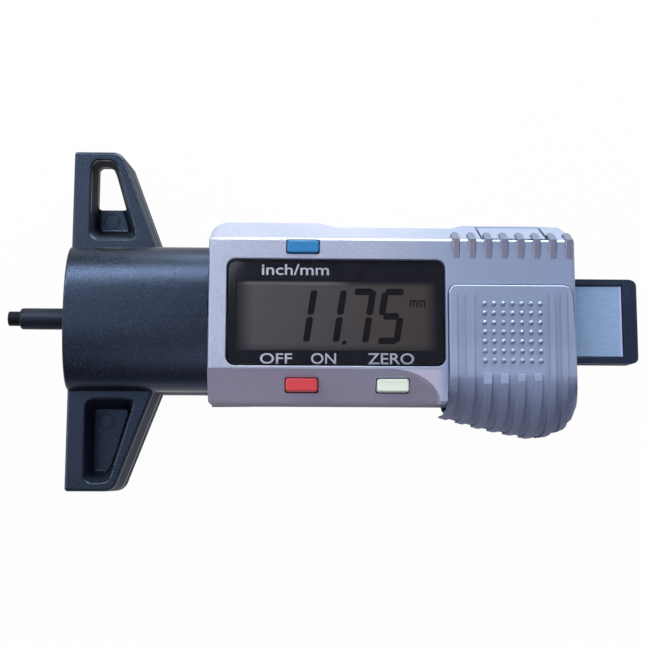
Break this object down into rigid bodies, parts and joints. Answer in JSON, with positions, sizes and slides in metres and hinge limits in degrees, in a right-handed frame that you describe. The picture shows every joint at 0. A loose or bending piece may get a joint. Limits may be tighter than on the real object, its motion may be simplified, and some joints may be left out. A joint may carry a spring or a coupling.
{
  "type": "digital tire tread depth gauge",
  "caption": "Digital tread depth gauge: winged black base with an arched neck, sliding beam with a round probe, and a silver case with a display, keys and a ribbed grip.",
  "frame": {"origin": "on the back plane that the gauge lies on, midway between the probe's tip and the beam's tail at rest, in the plane of the probe's axis", "axes": "+X from the probe to the beam's tail, +Y towards the unit key and the battery door, +Z out of the display"},
  "size_m": [0.121, 0.0656, 0.0193],
  "materials": {
    "black_plastic": "fine satin grain",
    "beam_plastic": "satin",
    "silver_paint": "fine metallic paint",
    "window": "clear with a black printed border",
    "gloss_black": "gloss",
    "display": "grey liquid crystal display",
    "rubber": "matt",
    "board": "green solder mask",
    "steel": "plain",
    "brass": "plain",
    "label": "satin blue-grey film",
    "blue_key": "satin",
    "red_key": "satin",
    "ivory_key": "satin"
  },
  "bodies": {
    "housing": {"base_foot": "black_plastic", "front_cover": "silver_paint", "back_cover": "black_plastic", "case_screw_1": "steel", "case_screw_2": "steel", "case_screw_3": "steel", "case_screw_4": "steel", "window_lens": "window", "lcd_bezel": "gloss_black", "lcd_panel": "display", "zebra_strip_upper": "rubber", "zebra_strip_lower": "rubber", "circuit_board": "board", "chip_blob": "gloss_black", "switch_unit": "steel", "switch_power": "steel", "switch_zero": "steel", "battery_cell": "steel", "battery_contact_positive": "brass", "battery_contact_negative": "brass", "slide_spring_front": "brass", "slide_spring_rear": "brass"},
    "slider": {"beam": "beam_plastic", "scale_label": "label", "scale_strip": "board", "probe_rod": "beam_plastic", "probe_tip": "steel"},
    "unit_key": {"button_unit": "blue_key"},
    "power_key": {"button_power": "red_key"},
    "zero_key": {"button_zero": "ivory_key"},
    "door": {"battery_door": "silver_paint"}
  },
  "joints": [
    {"name": "probe_slide", "type": "slide", "parent": "housing", "child": "slider", "axis": [-1, 0, 0], "range_m": [-0.01175, 0.01365]},
    {"name": "unit_press", "type": "slide", "parent": "housing", "child": "unit_key", "axis": [0, 0, -1], "range_m": [0, 0.0005], "stiffness_N_per_m": 1500},
    {"name": "power_press", "type": "slide", "parent": "housing", "child": "power_key", "axis": [0, 0, -1], "range_m": [0, 0.0005], "stiffness_N_per_m": 1500},
    {"name": "zero_press", "type": "slide", "parent": "housing", "child": "zero_key", "axis": [0, 0, -1], "range_m": [0, 0.0005], "stiffness_N_per_m": 1500},
    {"name": "door_slide", "type": "slide", "parent": "housing", "child": "door", "axis": [0, 1, 0], "range_m": [0, 0.014]}
  ]
}
